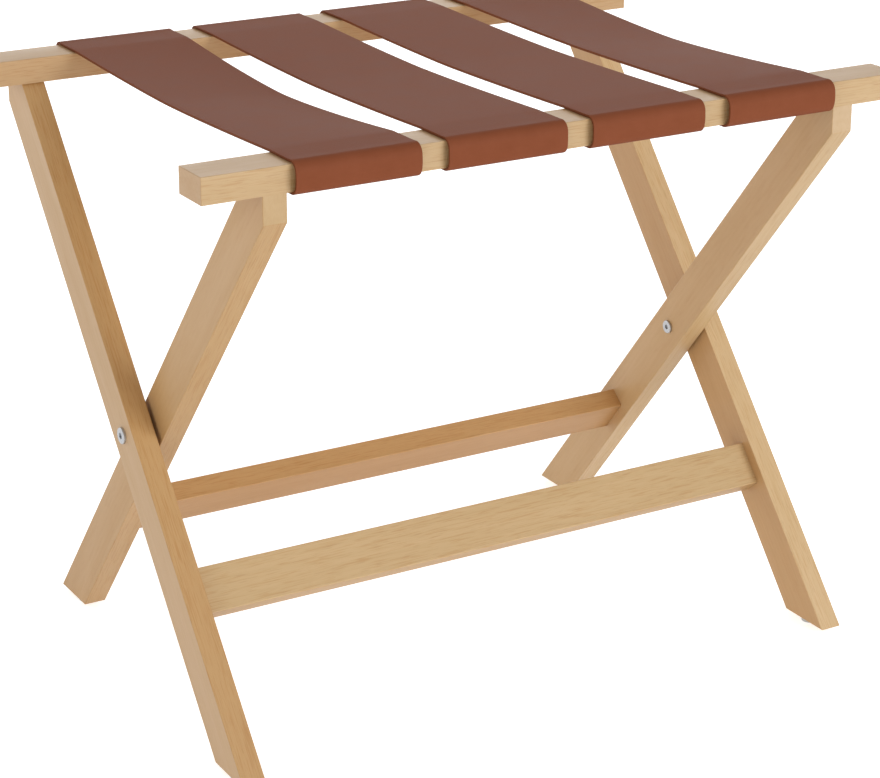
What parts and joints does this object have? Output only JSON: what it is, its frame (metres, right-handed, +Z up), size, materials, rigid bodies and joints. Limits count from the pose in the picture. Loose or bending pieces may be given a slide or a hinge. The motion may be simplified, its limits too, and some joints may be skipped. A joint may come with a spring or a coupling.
{
  "type": "folding luggage bench",
  "caption": "Folding luggage rack: two crossed beech frames on a pivot line, joined by wide brown leather straps that carry a suitcase.",
  "frame": {"origin": "on the floor under the middle of the bench, half way between the rails", "axes": "+X along the rails to the right, +Y from the front rail to the rear rail, +Z up"},
  "size_m": [0.636, 0.4552, 0.509],
  "materials": {
    "beech": "clear satin lacquer on pale beech",
    "leather": "smooth brown leather, satin, with dark cut edges",
    "steel": "zinc-plated, satin",
    "nylon": "light grey moulded nylon"
  },
  "bodies": {
    "outer_frame": {"rear_rail": "beech", "outer_leg_left": "beech", "outer_leg_right": "beech", "front_stretcher": "beech", "front_glide_left": "nylon", "front_glide_right": "nylon", "rear_rail_dowel_left_1": "beech", "rear_rail_dowel_left_2": "beech", "rear_rail_dowel_right_1": "beech", "rear_rail_dowel_right_2": "beech", "front_stretcher_dowel_left_1": "beech", "front_stretcher_dowel_left_2": "beech", "front_stretcher_dowel_right_1": "beech", "front_stretcher_dowel_right_2": "beech", "rear_tack_1_left": "steel", "rear_tack_1_right": "steel", "rear_tack_2_left": "steel", "rear_tack_2_right": "steel", "rear_tack_3_left": "steel", "rear_tack_3_right": "steel", "rear_tack_4_left": "steel", "rear_tack_4_right": "steel", "pivot_bolt_left": "steel", "pivot_bolt_right": "steel", "sleeve_nut_left": "steel", "sleeve_nut_right": "steel", "pivot_washer_left": "nylon", "pivot_washer_right": "nylon", "strap_1": "leather", "strap_2": "leather", "strap_3": "leather", "strap_4": "leather"},
    "inner_frame": {"front_rail": "beech", "inner_leg_left": "beech", "inner_leg_right": "beech", "rear_stretcher": "beech", "rear_glide_left": "nylon", "rear_glide_right": "nylon", "front_rail_dowel_left_1": "beech", "front_rail_dowel_left_2": "beech", "front_rail_dowel_right_1": "beech", "front_rail_dowel_right_2": "beech", "rear_stretcher_dowel_left_1": "beech", "rear_stretcher_dowel_left_2": "beech", "rear_stretcher_dowel_right_1": "beech", "rear_stretcher_dowel_right_2": "beech", "front_tack_1_left": "steel", "front_tack_1_right": "steel", "front_tack_2_left": "steel", "front_tack_2_right": "steel", "front_tack_3_left": "steel", "front_tack_3_right": "steel", "front_tack_4_left": "steel", "front_tack_4_right": "steel"}
  },
  "joints": [
    {"name": "fold", "type": "hinge", "parent": "outer_frame", "child": "inner_frame", "pos_m": [0, 0, 0.2293], "axis": [-1, 0, 0], "range_deg": [0, 64], "deforming": ["strap_1", "strap_2", "strap_3", "strap_4"]}
  ]
}
